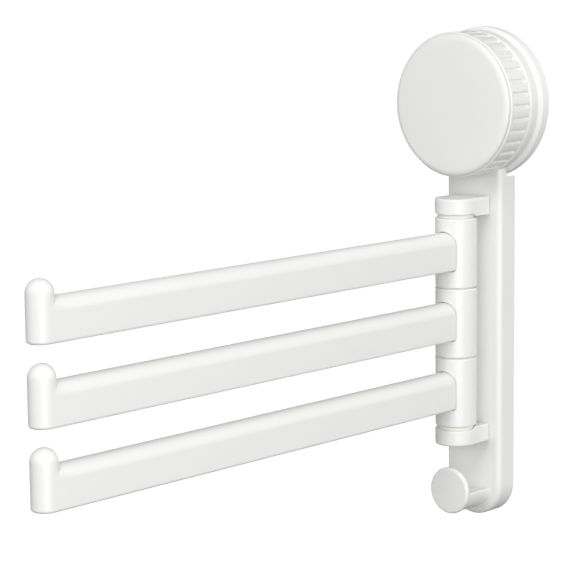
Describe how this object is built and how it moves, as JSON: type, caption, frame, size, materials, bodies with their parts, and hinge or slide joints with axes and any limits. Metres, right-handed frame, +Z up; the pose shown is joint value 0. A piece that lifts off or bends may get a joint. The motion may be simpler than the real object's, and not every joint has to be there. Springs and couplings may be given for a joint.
{
  "type": "swing arm towel bar",
  "caption": "Wall-held swing arm towel bar: a twist-knob suction cup carries a long plate with pivoting arms on a steel pin and a small hook below.",
  "frame": {"origin": "centre of the suction cup's contact ring, on the wall plane and on the knob's axis", "axes": "+Y into the wall, +Z up, +X to the right as seen from the room; the arms point along -Y at rest"},
  "size_m": [0.0842, 0.3433, 0.277],
  "materials": {
    "gloss_white": "moulded, glossy, faint mould texture",
    "cup_white": "soft, smooth, satin",
    "moulded_white": "moulded, satin",
    "nylon": "natural, slightly waxy",
    "steel": "turned, bright",
    "brass": "turned"
  },
  "bodies": {
    "wall_unit": {"wall_plate": "gloss_white", "suction_cup": "cup_white", "thrust_washer": "nylon", "upper_ear": "gloss_white", "lower_ear": "gloss_white", "hinge_pin": "steel", "pin_plug": "gloss_white", "ear_washers": "nylon", "slip_washers": "nylon", "towel_hook": "gloss_white", "plate_screws": "steel"},
    "knob": {"knob_grip": "gloss_white", "knob_nut": "brass", "knob_cap": "gloss_white"},
    "stud": {"cup_stud": "moulded_white"},
    "top_arm": {"knuckle_top": "gloss_white", "arm_top": "gloss_white", "tip_top": "gloss_white"},
    "middle_arm": {"knuckle_middle": "gloss_white", "arm_middle": "gloss_white", "tip_middle": "gloss_white"},
    "bottom_arm": {"knuckle_bottom": "gloss_white", "arm_bottom": "gloss_white", "tip_bottom": "gloss_white"}
  },
  "joints": [
    {"name": "top_arm_swing", "type": "hinge", "parent": "wall_unit", "child": "top_arm", "pos_m": [0, -0.0297, 0], "axis": [0, 0, 1], "range_deg": [-90, 90]},
    {"name": "middle_arm_swing", "type": "hinge", "parent": "wall_unit", "child": "middle_arm", "pos_m": [0, -0.0297, 0], "axis": [0, 0, 1], "range_deg": [-90, 90]},
    {"name": "bottom_arm_swing", "type": "hinge", "parent": "wall_unit", "child": "bottom_arm", "pos_m": [0, -0.0297, 0], "axis": [0, 0, 1], "range_deg": [-90, 90]},
    {"name": "knob_twist", "type": "hinge", "parent": "wall_unit", "child": "knob", "pos_m": [0, 0, 0], "axis": [0, -1, 0], "range_deg": [0, 360]},
    {"name": "stud_travel", "type": "slide", "parent": "wall_unit", "child": "stud", "axis": [0, 1, 0], "range_m": [0, 0.003], "deforming": ["suction_cup"]}
  ],
  "couplings": [
    {"joint": "stud_travel", "follows": "knob_twist", "m_per_rad": 0.000477}
  ]
}
